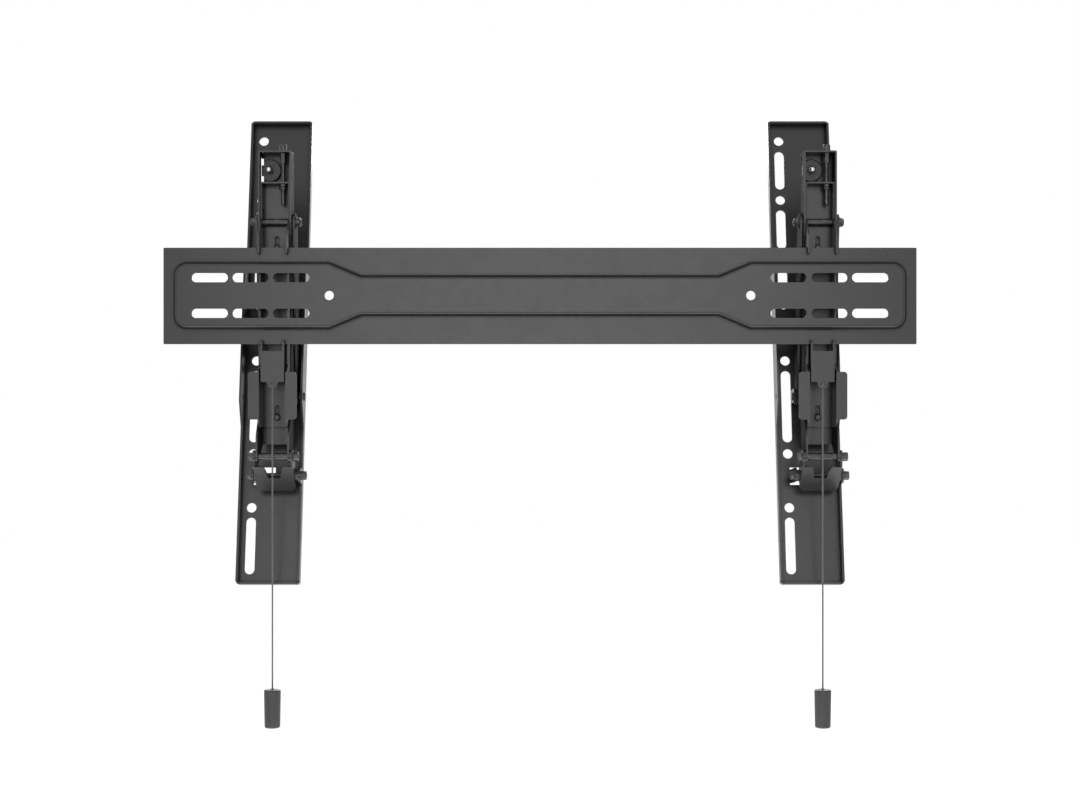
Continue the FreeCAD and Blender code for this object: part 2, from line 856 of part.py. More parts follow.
def hook_channel(side, channel):
    hook = Piece(side + "_hook_channel")
    tip = "(%s - hook_reach)" % rim_half
    behind_rim = "(%s + seat_gap)" % rim_back
    hook.pad(
        "YZ",
        "-" + hook_half,
        hook_half,
        outline(
            ("hook_web_back", "hook_bottom"),
            ("hook_web_back", "hook_top"),
            ("hook_front", "hook_top"),
            ("hook_front", "hook_shoulder + hook_front - hook_wall_gap"),
            ("hook_wall_gap", "hook_shoulder", "hook_corner"),
            ("hook_wall_gap", tip, "hook_corner"),
            ("field_depth - seat_gap", tip, "hook_corner"),
            ("field_depth - seat_gap", "%s + seat_gap" % rim_half),
            (behind_rim, "%s + seat_gap" % rim_half),
            (behind_rim, "foot_top + field_depth"),
            ("0", "foot_top"),
            ("0", "foot_bottom"),
            ("field_depth", "hook_bottom"),
        ),
    )
    hook.cut(
        "YZ",
        "-" + hook_inner,
        hook_inner,
        block("-hook_web_back", "hook_web_back - hook_sheet", "2 * hook_bottom", "hook_top - hook_sheet"),
    )
    hook.bend(
        "channel_bend",
        ("z", {"x": "-" + hook_half, "y": "hook_web_back"}),
        ("z", {"x": hook_half, "y": "hook_web_back"}),
        ("x", {"y": "hook_web_back", "z": "hook_top"}),
    )
    for sign in ("-", ""):
        corners = [
            (sign + hook_inner, "foot_bottom"),
            (sign + "foot_half_width", "foot_bottom", "foot_corner"),
            (sign + "foot_half_width", "foot_top", "foot_corner"),
            (sign + hook_inner, "foot_top"),
        ]
        hook.pad("XZ", "0", "hook_sheet", outline(*corners))
    seat = ("-spring_seat_half_width", "spring_seat_half_width")
    hook.cut(
        "XZ",
        "hook_web_back - 2 * hook_sheet",
        "hook_web_back + hook_sheet",
        slot("0", "upper_rivet_z - level_down", "0", "upper_rivet_z + level_up", "rivet_slot_width"),
        slot("0", "lower_rivet_z - level_down", "0", "lower_rivet_z + level_up", "rivet_slot_width"),
        block(*seat, "spring_seat_top", "spring_seat_top + hook_web_back - spring_y"),
    )
    hook.pad(
        "XY",
        "spring_seat_top - hook_sheet",
        "spring_seat_top",
        block(*seat, "spring_y - spring_width / 2", "hook_web_back - hook_sheet / 2"),
    )
    hook.cut(
        "YZ",
        "-" + hook_half,
        hook_half,
        slot(
            "upper_pivot_y",
            "upper_pivot_z - level_down",
            "upper_pivot_y",
            "upper_pivot_z + level_up",
            "spacer + 2 * spacer_gap",
        ),
        circle("latch_pin_y", "latch_pin_z", "latch_pin + bolt_clearance"),
    )
    hook.cut(
        "XY",
        "hook_top - 2 * hook_sheet",
        "hook_top + hook_sheet",
        circle("screw_side", "screw_y", "screw_shank + 4 * running_gap"),
    )
    hook.place(channel)
    keep(hook)


def rivets(side, channel):
    """Buttons in front of the hook channel's web, their shanks through its slots and in the carriage."""
    front = "(hook_web_back - hook_sheet - running_gap)"
    buttons = []
    for place in ("upper", "lower"):
        button = Piece("%s_%s_rivet" % (side, place))
        button.turn(
            "XY",
            "Y",
            outline(
                ("0", front + " - rivet_shank / 2"),
                ("rivet_head / 2 - rivet_shank / 6", front + " - rivet_shank / 2"),
                ("rivet_head / 2", front + " - rivet_shank / 3"),
                ("rivet_head / 2", front),
                ("rivet_shank / 2", front),
                ("rivet_shank / 2", "carriage_web_back"),
                ("0", "carriage_web_back"),
            ),
        )
        button.place(channel, "0", place + "_rivet_z")
        buttons.append(button)
    group(side + "_guide_rivets", buttons)


# The level screw with its collar and nut


def level_screw(side, channel):
    at_x = "%s + screw_side" % channel
    screw = Piece(side + "_level_screw")
    washer_top = "(carriage_top + level_washer_sheet)"
    head_top = "(%s + screw_head_height)" % washer_top
    screw.turn(
        "XZ",
        "Z",
        outline(
            ("0", "screw_bottom"),
            ("screw_shank / 3", "screw_bottom"),
            ("screw_shank / 2", "screw_bottom + screw_shank / 4"),
            ("screw_shank / 2", "carriage_top"),
            ("level_washer / 2", "carriage_top"),
            ("level_washer / 2", washer_top),
            ("screw_head / 2", washer_top),
            ("screw_head / 2", head_top + " - screw_head / 12"),
            ("screw_head / 2 - screw_head / 12", head_top),
            ("0", head_top),
        ),
    )
    screw.cut(
        "XY", "%s - screw_head_height / 2" % head_top, head_top, hexagon("0", "0", "key_flats")
    )
    screw.place(at_x, "screw_y")
    keep(screw)
    collar = Piece(side + "_level_collar")
    collar_top = "(carriage_top - carriage_sheet - running_gap)"
    collar.pad(
        "XY",
        "%s - collar_height" % collar_top,
        collar_top,
        hexagon("0", "0", "collar_flats"),
        circle("0", "0", "screw_shank + bolt_clearance"),
    )
    collar.place(at_x, "screw_y")
    keep(collar)
    nut = Piece(side + "_level_nut")
    under_tab = "(hook_top - hook_sheet)"
    bore = circle("0", "0", "screw_shank + 2 * running_gap")
    under_nut = under_tab + " - level_nut_height"
    nut.pad("XY", under_nut, under_tab, hexagon("0", "0", "level_nut_flats"), bore)
    flange_end = under_nut + " - level_washer_sheet"
    nut.pad("XY", flange_end, under_nut, circle("0", "0", "level_washer"), bore)
    nut.place(at_x, "screw_y")
    keep(nut)


# The thumbwheel on its stud


def thumbwheel(side, channel):
    at_x = "%s + wheel_side" % channel
    front = "(wheel_back - wheel_thickness)"
    bore = "(stud / 2 + running_gap)"
    rim = "(wheel_width / 2)"
    edge = "(wheel_notch / 2)"
    wheel = Piece(side + "_thumbwheel")
    wheel.turn(
        "XY",
        "Y",
        outline(
            (bore, "wheel_back"),
            ("%s - %s" % (rim, edge), "wheel_back"),
            (rim, "wheel_back - " + edge),
            (rim, "%s + %s" % (front, edge)),
            ("%s - %s" % (rim, edge), front),
            ("wheel_boss / 2", front),
            ("wheel_boss / 2", front + " - wheel_boss_height"),
            (bore, front + " - wheel_boss_height"),
        ),
    )
    wheel.cut("XZ", front + " - wheel_notch", "wheel_back + wheel_notch", circle(rim, "0", "wheel_notch"))
    wheel.pattern_round("Y", "wheel_notches")
    wheel.place(at_x, "0", "wheel_z")
    keep(wheel)
    stud = Piece(side + "_wheel_stud")
    web_front = "carriage_web_back - carriage_sheet"
    stud.turn(
        "XY",
        "Y",
        outline(
            ("0", "stud_front"),
            ("stud / 4", "stud_front"),
            ("stud / 2", "stud_front + stud / 4"),
            ("stud / 2", "wheel_back + running_gap"),
            ("wheel_boss / 2", "wheel_back + running_gap"),
            ("wheel_boss / 2", web_front),
            ("stud / 2", web_front),
            ("stud / 2", "carriage_web_back"),
            ("0", "carriage_web_back"),
        ),
    )
    stud.place(at_x, "0", "wheel_z")
    keep(stud)


# The two links between the carriage and the upright


def upper_link(side, channel):
    link = Piece(side + "_upper_link")
    web_back = "(link_web_front + link_sheet)"
    low = "(-%s - link_half_width)" % link_length
    link.pad(
        "YZ",
        "-" + link_half,
        link_half,
        outline(
            ("-link_half_width", "link_half_width", "link_round"),
            ("-link_half_width", low, "link_round"),
            ("link_half_width", low, "link_round"),
            (web_back, "%s + 2 * link_half_width" % low),
            (web_back, "-2 * link_half_width"),
            ("link_half_width", "link_half_width", "link_round"),
        ),
    )
    link.cut(
        "YZ",
        "-" + link_inner,
        link_inner,
        block("-2 * link_half_width", "link_web_front", low + " - link_half_width", "2 * link_half_width"),
    )
    link.cut(
        "YZ",
        "-" + link_half,
        link_half,
        circle("0", "0", "bolt + 2 * bolt_clearance"),
        circle("0", "-" + link_length, "pin + 2 * open_pivot_clearance"),
    )
    link.place(channel, "upper_pivot_y", "upper_pivot_z", link_angle)
    keep(link)


def lower_link(side, channel):
    link = Piece(side + "_lower_link")
    outer = "(flap_offset + link_sheet)"
    arm = outline(
        ("arm_half_width", "arm_half_width", "arm_round"),
        ("-arm_half_width", "arm_half_width", "arm_round"),
        ("-arm_half_width", "0"),
        ("-" + outer, "-flap_start"),
        ("-" + outer, "-flap_side_end"),
        ("arm_half_width", "-%s - arm_half_width" % arm_length, "arm_round"),
    )
    link.pad("YZ", link_inner, link_half, arm)
    link.pad(
        "XZ",
        "-" + outer,
        "-flap_offset",
        outline(
            ("-" + link_half, "-flap_start"),
            ("-" + link_half, "-flap_end", "flap_corner"),
            (link_half, "-flap_end", "flap_corner"),
            (link_half, "-flap_start"),
            ("flap_notch_top / 2", "-flap_start"),
            ("flap_notch_bottom / 2", "-flap_start - flap_notch_depth"),
            ("-flap_notch_bottom / 2", "-flap_start - flap_notch_depth"),
            ("-flap_notch_top / 2", "-flap_start"),
        ),
    )
    link.pad("YZ", "-" + link_half, "-" + link_inner, arm)
    bore = "bolt + 2 * bolt_clearance"
    link.cut("YZ", "-" + link_half, link_half, circle("0", "0", bore), circle("0", "-" + arm_length, bore))
    link.place(channel, "lower_pivot_y", "lower_pivot_z", arm_angle)
    keep(link)


# Bolts, nuts, washers and spacers, each turned about its own pivot


def ring(name, low, high, width, bore):
    """A washer or a tube along X."""
    piece = Piece(name)
    piece.turn(
        "XY",
        "X",
        outline(
            (low, "(%s) / 2" % bore),
            (high, "(%s) / 2" % bore),
            (high, "(%s) / 2" % width),
            (low, "(%s) / 2" % width),
        ),
    )
    return piece


def bolt(name, face, head, head_height, bevel):
    """A bolt along X with its socket head beyond the face on the right and its end on the left."""
    piece = Piece(name)
    outer = "(%s + %s)" % (face, head_height)
    end = "-(%s + nut_height + bolt_end)" % face
    piece.turn(
        "XY",
        "X",
        outline(
            (outer, "0"),
            (outer, "%s / 2 - %s" % (head, bevel)),
            ("%s - %s" % (outer, bevel), "%s / 2" % head),
            (face, "%s / 2" % head),
            (face, "bolt / 2"),
            ("%s + bolt / 8" % end, "bolt / 2"),
            (end, "bolt * 3 / 8"),
            (end, "0"),
        ),
    )
    piece.cut("YZ", "%s - %s / 2" % (outer, head_height), outer, hexagon("0", "0", "key_flats"))
    return piece


def hex_nut(name, face):
    piece = Piece(name)
    piece.pad(
        "YZ",
        "-(%s + nut_height)" % face,
        "-" + face,
        hexagon("0", "0", "nut_flats"),
        circle("0", "0", "bolt + bolt_clearance"),
    )
    return piece


def pivot_set(side, channel, name, pivot, face, head, washers):
    """A through bolt with its nut and a pair of each washer at one pivot."""
    spot = (channel, pivot + "_y", pivot + "_z")
    name = "%s_%s" % (side, name)
    for piece in (bolt(name + "_bolt", face, *head), hex_nut(name + "_nut", face)):
        piece.place(*spot)
        keep(piece)
    rings = []
    for low, high, width in washers:
        for ends in ((low, high), ("-" + high, "-" + low)):
            one = ring("%s_ring%d" % (name, len(rings) + 1), *ends, width, "bolt + 2 * bolt_clearance")
            one.place(*spot)
            rings.append(one)
    group(name + "_washers", rings)


def pivots(side, channel):
    outside_link = "(%s + running_gap)" % link_half
    washer_face = "(%s + washer_sheet)" % outside_link
    between = ("(%s + running_gap)" % carriage_half, "(%s - running_gap)" % link_inner)
    small = ("small_head", "small_head_height", "small_head_bevel")
    pivot_set(
        side,
        channel,
        "upper",
        "upper_pivot",
        washer_face,
        ("upper_head", "upper_head_height", "upper_head_bevel"),
        [(outside_link, washer_face, "washer"), (*between, "nut_flats")],
    )
    pivot_set(side, channel, "lower", "lower_pivot", outside_link, small, [(*between, "washer")])
    rail_face = "(%s + rail_sheet)" % rail_right_inner
    beside_rail = (outside_link, rail_right_inner, "washer")
    pivot_set(side, channel, "tilt", "foot_pivot", rail_face, small, [beside_rail])
    inside = "(%s - running_gap)" % carriage_inner
    for place in ("upper", "lower"):
        tube = ring(
            "%s_%s_spacer" % (side, place), "-" + inside, inside, "spacer", "bolt + 2 * bolt_clearance"
        )
        tube.place(channel, place + "_pivot_y", place + "_pivot_z")
        keep(tube)


def link_pins(side, channel):
    """The two short pins of the upper link's lower end, one in the lanced ear and one in the flange."""
    inner = "(%s + running_gap / 2)" % link_inner
    lug_back = "(%s + lug_gap + rail_sheet)" % link_half
    flange_back = "(%s + rail_sheet)" % rail_right_inner
    left = Piece(side + "_ear_pin")
    left.turn(
        "XY",
        "X",
        outline(
            ("-%s - pin_head_height" % lug_back, "0"),
            ("-%s - pin_head_height" % lug_back, "pin_head / 2 - pin_head_height / 3"),
            ("-%s - pin_head_height * 2 / 3" % lug_back, "pin_head / 2"),
            ("-" + lug_back, "pin_head / 2"),
            ("-" + lug_back, "pin / 2"),
            ("-" + inner, "pin / 2"),
            ("-" + inner, "0"),
        ),
    )
    right = Piece(side + "_flange_pin")
    right.turn(
        "XY",
        "X",
        outline(
            (inner, "0"),
            (inner, "pin / 2"),
            ("%s + lug_gap" % link_half, "pin / 2"),
            ("%s + lug_gap" % link_half, "pin_head / 2"),
            (rail_right_inner, "pin_head / 2"),
            (rail_right_inner, "pin / 2"),
            (flange_back, "pin / 2"),
            (flange_back, "pin_head / 2"),
            (flange_back + " + pin_head_height * 2 / 3", "pin_head / 2"),
            (flange_back + " + pin_head_height", "pin_head / 2 - pin_head_height / 3"),
            (flange_back + " + pin_head_height", "0"),
        ),
    )
    for piece in (left, right):
        piece.place(channel, link_y, link_z)
    group(side + "_link_pins", [left, right])


# The latch with its pin and spring


def latch(side, channel):
    slide = Piece(side + "_latch")
    tip = "(latch_tip - %s)" % rim_half
    rim_edge = "(-%s - seat_gap)" % rim_half
    behind_rim = "(%s + seat_gap)" % rim_back
    slide.pad(
        "YZ",
        "-" + latch_half,
        latch_half,
        outline(
            ("latch_front", "latch_bottom"),
            ("latch_back", "latch_bottom"),
            ("latch_back", tip, "latch_tip"),
            (behind_rim, tip),
            (behind_rim, rim_edge),
            ("field_depth - seat_gap", rim_edge),
            ("field_depth - seat_gap", tip, "latch_sheet / 2"),
            ("latch_front", tip, "latch_tip / 2"),
        ),
    )
    slide.cut(
        "YZ",
        "-" + latch_inner,
        latch_inner,
        block(
            "latch_front + latch_sheet",
            "2 * latch_back",
            "latch_bottom - latch_sheet",
            "latch_plate_top - latch_sheet",
        ),
    )
    slide.cut(
        "YZ",
        "-" + latch_inner,
        latch_inner,
        block("spring_tab_back", "2 * latch_back", "latch_bottom - latch_sheet", tip + " + latch_sheet"),
    )
    slide.cut(
        "YZ",
        "-" + latch_inner,
        latch_inner,
        block("latch_front - latch_sheet", "latch_back", "latch_plate_top", tip + " + latch_sheet"),
    )
    tongue_end = "(latch_bottom - tongue_length)"
    slide.pad(
        "XZ",
        "latch_front",
        "latch_front + latch_sheet",
        outline(
            ("-tongue_top_width / 2", "latch_bottom"),
            ("-tongue_end_width / 2", tongue_end, "tongue_corner"),
            ("tongue_end_width / 2", tongue_end, "tongue_corner"),
            ("tongue_top_width / 2", "latch_bottom"),
        ),
    )
    slide.cut(
        "XZ",
        "latch_front - latch_sheet",
        "latch_front + 2 * latch_sheet",
        circle("0", "latch_bottom - knot_down", "knot + 2 * cord_clearance"),
    )
    slide.cut(
        "XZ",
        "latch_front - latch_sheet",
        "latch_front + 2 * latch_sheet",
        block(
            "-cord / 2 - cord_clearance",
            "cord / 2 + cord_clearance",
            tongue_end + " - latch_sheet",
            "latch_bottom - knot_down",
        ),
    )
    slide.cut(
        "YZ",
        "-" + latch_half,
        latch_half,
        slot(
            "latch_pin_y",
            "latch_pin_z",
            "latch_pin_y",
            "latch_pin_z + latch_travel",
            "latch_pin + 4 * latch_pin_clearance",
        ),
    )
    slide.place(channel)
    keep(slide)
    pin = Piece(side + "_latch_pin")
    pin.turn(
        "XY",
        "X",
        outline(
            ("-" + hook_half, "0"),
            ("-" + hook_half, "latch_pin / 2"),
            (hook_half, "latch_pin / 2"),
            (hook_half, "0"),
        ),
    )
    pin.place(channel, "latch_pin_y", "latch_pin_z")
    keep(pin)


def latch_spring(side, channel):
    """A coil between the seat on the hook channel and the tab at the top of the latch."""
    spring = Piece(side + "_latch_spring")
    height = "(latch_plate_top - latch_sheet - spring_seat_top - spring_wire - 2 * running_gap)"
    inner = "(spring_width / 2 - spring_wire)"
    wire = block(inner, "spring_width / 2", "-spring_wire / 2", "spring_wire / 2")
    sketch = spring.sketch("XZ", "0", [wire])
    helix = spring.feature("AdditiveHelix", sketch)
    helix.ReferenceAxis = (sketch, ["V_Axis"])
    helix.Mode = 0
    helix.setExpression("Pitch", bind("%s / spring_turns" % height))
    helix.setExpression("Height", bind(height))
    doc.recompute()
    spring.place(channel, "spring_y", "spring_seat_top + spring_wire / 2 + running_gap")
    keep(spring)


# The pull cord, its knot in the latch's keyhole and its handle


def pull_cord(side, channel):
    knot_half = "(knot_height / 2)"
    knot_z = "(latch_bottom - knot_down)"
    cord = doc.addObject("Part::Cylinder", side + "_pull_cord")
    cord.Label = side + "_pull_cord"
    cord.setExpression("Radius", bind("cord / 2"))
    cord.setExpression("Height", bind("%s - %s - handle_top + handle_mouth_depth" % (knot_z, knot_half)))
    place_object(cord, channel, cord_y, "handle_top - handle_mouth_depth")
    keep(cord)
    knot = Piece(side + "_cord_knot")
    knot.turn(
        "XZ",
        "Z",
        outline(
            ("0", "-" + knot_half),
            ("knot / 2 - knot_bevel", "-" + knot_half),
            ("knot / 2", "-%s + knot_bevel" % knot_half),
            ("knot / 2", knot_half + " - knot_bevel"),
            ("knot / 2 - knot_bevel", knot_half),
            ("0", knot_half),
        ),
    )
    knot.place(channel, cord_y, knot_z)
    keep(knot)
    handle = Piece(side + "_pull_handle")
    handle.turn(
        "XZ",
        "Z",
        outline(
            ("0", "-handle_mouth_depth"),
            ("handle_mouth / 2", "-handle_mouth_depth"),
            ("handle_mouth / 2", "0"),
            ("handle_top_width / 2 - handle_bevel", "0"),
            ("handle_top_width / 2", "-handle_bevel"),
            ("handle_end_width / 2", "-handle_length + handle_bevel"),
            ("handle_end_width / 2 - handle_bevel", "-handle_length"),
            ("0", "-handle_length"),
        ),
    )
    handle.place(channel, cord_y, "handle_top")
    keep(handle)


def save():
    """Checks every object, then writes one file for each sub-part."""
    doc.recompute()
    for thing in doc.Objects:
        if "Invalid" in thing.State or "Error" in thing.State:
            raise RuntimeError("%s failed: %s" % (thing.Name, thing.State))
    os.makedirs("parts", exist_ok=True)
    for node in nodes:
        if node.Shape.isNull() or not node.Shape.isValid():
            raise RuntimeError("%s has no valid shape" % node.Label)
        node.Shape.exportStep("parts/%s.step" % node.Label)


wall_plate()
for side in ("left", "right"):
    for build in (
        upright,
        carriage,
        hook_channel,
        rivets,
        level_screw,
        thumbwheel,
        upper_link,
        lower_link,
        pivots,
        link_pins,
        latch,
        latch_spring,
        pull_cord,
    ):
        build(side, side + "_channel")
save()
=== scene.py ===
import json
import math

import bmesh
import bpy
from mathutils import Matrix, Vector


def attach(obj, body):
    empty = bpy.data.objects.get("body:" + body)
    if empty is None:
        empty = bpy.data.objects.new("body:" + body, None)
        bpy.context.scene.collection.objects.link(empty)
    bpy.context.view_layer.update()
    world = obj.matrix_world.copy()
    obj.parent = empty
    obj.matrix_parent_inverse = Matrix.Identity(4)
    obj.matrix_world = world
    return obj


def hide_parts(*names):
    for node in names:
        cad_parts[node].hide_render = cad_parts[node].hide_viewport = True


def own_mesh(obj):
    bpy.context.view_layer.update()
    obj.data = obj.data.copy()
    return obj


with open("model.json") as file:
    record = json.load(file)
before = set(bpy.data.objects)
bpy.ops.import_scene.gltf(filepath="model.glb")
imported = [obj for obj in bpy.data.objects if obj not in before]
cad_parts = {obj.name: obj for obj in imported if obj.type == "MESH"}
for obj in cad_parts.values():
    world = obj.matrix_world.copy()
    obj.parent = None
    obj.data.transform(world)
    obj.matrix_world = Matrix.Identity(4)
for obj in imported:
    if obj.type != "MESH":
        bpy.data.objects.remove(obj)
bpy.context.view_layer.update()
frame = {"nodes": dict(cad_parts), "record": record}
nodes = frame["nodes"]
SLOTS = {part["node"]: part["material_slot"] for part in frame["record"]["subparts"]}

# All lengths are in metres, in the frame's axes: the wall plane at y = 0, the room toward +y and
# +z up. The two sides are one assembly placed twice, at the middle of each hook channel.
SIDES = {"left": -0.2434, "right": 0.2572}
TURN = 2 * math.pi


# Camera: level, on the wall's side and a little below the plate

camera_data = bpy.data.cameras.new("camera")
camera_data.lens = 59.0
camera_data.sensor_width = 36.0
camera_data.clip_start = 0.05
camera_data.clip_end = 60.0
camera = bpy.data.objects.new("camera", camera_data)
camera.location = (0.0, -1.6077, -0.0995)
camera.rotation_euler = (math.radians(90), 0, 0)
bpy.context.collection.objects.link(camera)
bpy.context.scene.camera = camera


# Shader nodes


def new_material(name):
    """An empty material with a Principled shader wired to its output."""
    material = bpy.data.materials.new(name)
    material.use_nodes = True
    tree = material.node_tree
    tree.nodes.clear()
    output = tree.nodes.new("ShaderNodeOutputMaterial")
    shader = tree.nodes.new("ShaderNodeBsdfPrincipled")
    tree.links.new(shader.outputs["BSDF"], output.inputs["Surface"])
    return material, tree, shader


def split_place(tree, kind):
    """The X, Y and Z of a texture coordinate, such as Object or Normal."""
    place = tree.nodes.new("ShaderNodeTexCoord")
    split = tree.nodes.new("ShaderNodeSeparateXYZ")
    tree.links.new(place.outputs[kind], split.inputs["Vector"])
    return split.outputs


def noise(tree, scale, detail=4.0, roughness=0.55, stretch=None):
    """A noise value in the object's own metres."""
    place = tree.nodes.new("ShaderNodeTexCoord")
    source = place.outputs["Object"]
    if stretch is not None:
        mapping = tree.nodes.new("ShaderNodeMapping")
        mapping.inputs["Scale"].default_value = stretch
        tree.links.new(source, mapping.inputs["Vector"])
        source = mapping.outputs["Vector"]
    texture = tree.nodes.new("ShaderNodeTexNoise")
    texture.inputs["Scale"].default_value = scale
    texture.inputs["Detail"].default_value = detail
    texture.inputs["Roughness"].default_value = roughness
    tree.links.new(source, texture.inputs["Vector"])
    return texture.outputs["Fac"]


def ramp(tree, value, stops):
    """Maps a value to colours at the given places."""
    node = tree.nodes.new("ShaderNodeValToRGB")
    elements = node.color_ramp.elements
    while len(elements) < len(stops):
        elements.new(0.5)
    for element, (place, colour) in zip(elements, stops):
        element.position = place
        element.color = (*colour, 1.0)
    tree.links.new(value, node.inputs["Fac"])
    return node.outputs["Color"]


def level(tree, value, low, high, out_low, out_high):
    """Maps a value from one range to another."""
    node = tree.nodes.new("ShaderNodeMapRange")
    node.inputs["From Min"].default_value = low
    node.inputs["From Max"].default_value = high
    node.inputs["To Min"].default_value = out_low
    node.inputs["To Max"].default_value = out_high
    tree.links.new(value, node.inputs["Value"])
    return node.outputs["Result"]


def mixed(tree, factor, first, second):
    """Mixes two colours by a factor."""
    node = tree.nodes.new("ShaderNodeMix")
    node.data_type = "RGBA"
    tree.links.new(factor, node.inputs[0])
    tree.links.new(first, node.inputs[6])
    tree.links.new(second, node.inputs[7])
    return node.outputs[2]


def math_node(tree, operation, first, second=None):
    """A sum on one or two values, each a number or another node's output."""
    node = tree.nodes.new("ShaderNodeMath")
    node.operation = operation
    for socket, value in zip(node.inputs, (first, second)):
        if value is None:
            continue
        if isinstance(value, (int, float)):
            socket.default_value = value
        else:
            tree.links.new(value, socket)
    return node.outputs[0]


def bump(tree, shader, height, strength, distance, before=None):
    """Bends the shader's normal by a height, on top of an earlier bump if one is given."""
    node = tree.nodes.new("ShaderNodeBump")
    node.inputs["Strength"].default_value = strength
    node.inputs["Distance"].default_value = distance
    tree.links.new(height, node.inputs["Height"])
    if before is not None:
        tree.links.new(before, node.inputs["Normal"])
    tree.links.new(node.outputs["Normal"], shader.inputs["Normal"])
    return node.outputs["Normal"]


def openness(tree, distance):
    """How open the surface lies: low in creases and where pieces meet."""
    node = tree.nodes.new("ShaderNodeAmbientOcclusion")
    node.samples = 6
    node.inputs["Distance"].default_value = distance
    return node.outputs["AO"]


def sideways(tree):
    """How far the surface faces left or right, from 0 to 1."""
    across = math_node(tree, "ABSOLUTE", split_place(tree, "Normal")["X"])
    return level(tree, across, 0.8, 0.97, 0.0, 1.0)


# Materials


def powder_coat(name, flank_shade_weight):
    """Satin black powder coat: a fine orange-peel skin with faint cloudy and dusty patches,
    with painted shade in its creases, where its shine is lowered, and, in the share its second
    argument sets, painted shade on the flanks that face left or right, which are dull and rough."""
    material, tree, shader = new_material(name)
    # Painted shade in creases: the shine is lowered where the surface is closed in.
    crease = openness(tree, 0.004)
    # Painted shade on the flanks that face left or right: less shine and more roughness there.
    flank_shade = math_node(tree, "MULTIPLY", sideways(tree), flank_shade_weight)
    shine = level(tree, crease, 0.35, 0.9, 0.05, 0.5)
    shine = math_node(tree, "MULTIPLY", shine, level(tree, flank_shade, 0.0, 1.0, 1.0, 0.12))
    tree.links.new(shine, shader.inputs["Specular IOR Level"])
    cloud = noise(tree, 9.0, 5.0)
    speckle = noise(tree, 1500.0, 2.0, 0.4)
    peel = noise(tree, 620.0, 2.0, 0.4)
    dust = noise(tree, 70.0, 6.0, 0.7)
    base = ramp(tree, cloud, [(0.3, (0.011, 0.011, 0.012)), (0.7, (0.017, 0.017, 0.018))])
    spots = ramp(tree, speckle, [(0.35, (0.009, 0.009, 0.01)), (0.65, (0.02, 0.02, 0.021))])
    grain = mixed(tree, level(tree, dust, 0.35, 0.75, 0.25, 0.6), base, spots)
    tree.links.new(grain, shader.inputs["Base Color"])
    skin = level(tree, dust, 0.3, 0.7, 0.27, 0.35)
    skin = math_node(tree, "ADD", skin, level(tree, flank_shade, 0.0, 1.0, 0.0, 0.35))
    tree.links.new(skin, shader.inputs["Roughness"])
    first = bump(tree, shader, peel, 0.35, 0.00012)
    bump(tree, shader, speckle, 0.2, 0.00004, first)
    return material


def black_zinc():
    """Black zinc on steel, with brighter metal where it is rubbed."""
    material, tree, shader = new_material("black_zinc")
    shader.inputs["Metallic"].default_value = 0.75
    rub = noise(tree, 260.0, 5.0, 0.65)
    brushed = noise(tree, 900.0, 3.0, 0.6, (1.0, 1.0, 0.15))
    zinc, worn, metal = (0.035, 0.035, 0.037), (0.07, 0.07, 0.072), (0.22, 0.22, 0.22)
    colour = ramp(tree, rub, [(0.35, zinc), (0.6, worn), (0.8, metal)])
    tree.links.new(colour, shader.inputs["Base Color"])
    tree.links.new(level(tree, brushed, 0.3, 0.7, 0.28, 0.46), shader.inputs["Roughness"])
    bump(tree, shader, brushed, 0.25, 0.00005)
    return material


def bare_steel(name, low, high, roughness):
    """Turned or drawn steel with fine tool lines."""
    material, tree, shader = new_material(name)
    shader.inputs["Metallic"].default_value = 1.0
    lines = noise(tree, 1400.0, 2.0, 0.5, (1.0, 0.12, 1.0))
    colour = ramp(tree, lines, [(0.3, (low,) * 3), (0.7, (high,) * 3)])
    tree.links.new(colour, shader.inputs["Base Color"])
    rough = level(tree, lines, 0.3, 0.7, roughness - 0.06, roughness + 0.08)
    tree.links.new(rough, shader.inputs["Roughness"])
    bump(tree, shader, lines, 0.2, 0.00003)
    return material


def cord_material():
    """A slim braided cord: two sets of strands that wind round its line and cross."""
    material, tree, shader = new_material("grey_cord")
    shader.inputs["Roughness"].default_value = 0.85
    shader.inputs["Sheen Weight"].default_value = 0.4
    strands, strands_per_metre = 4.0, 3600.0
    place = split_place(tree, "Object")
    turn = math_node(tree, "ARCTAN2", place["Y"], place["X"])
    around = math_node(tree, "MULTIPLY", turn, strands)
    along = math_node(tree, "MULTIPLY", place["Z"], strands_per_metre)
    one = math_node(tree, "SINE", math_node(tree, "ADD", around, along))
    two = math_node(tree, "SINE", math_node(tree, "SUBTRACT", around, along))
    weave = math_node(tree, "MAXIMUM", one, two)
    fuzz = noise(tree, 4000.0, 3.0)
    shade = level(tree, weave, -1.0, 1.0, 0.0, 1.0)
    colour = ramp(tree, shade, [(0.2, (0.1, 0.1, 0.1)), (0.9, (0.19, 0.19, 0.195))])
    tree.links.new(colour, shader.inputs["Base Color"])
    first = bump(tree, shader, weave, 0.6, 0.00012)
    bump(tree, shader, fuzz, 0.3, 0.00005, first)
    return material


def handle_material():
    """Dark grey moulded plastic with a fine eroded texture and a few rubbed patches."""
    material, tree, shader = new_material("grey_plastic")
    grain = noise(tree, 1900.0, 2.0, 0.4)
    patch = noise(tree, 90.0, 4.0, 0.6)
    colour = ramp(tree, patch, [(0.3, (0.034, 0.034, 0.036)), (0.75, (0.05, 0.05, 0.053))])
    tree.links.new(colour, shader.inputs["Base Color"])
    tree.links.new(level(tree, patch, 0.3, 0.7, 0.42, 0.55), shader.inputs["Roughness"])
    bump(tree, shader, grain, 0.35, 0.00005)
    return material


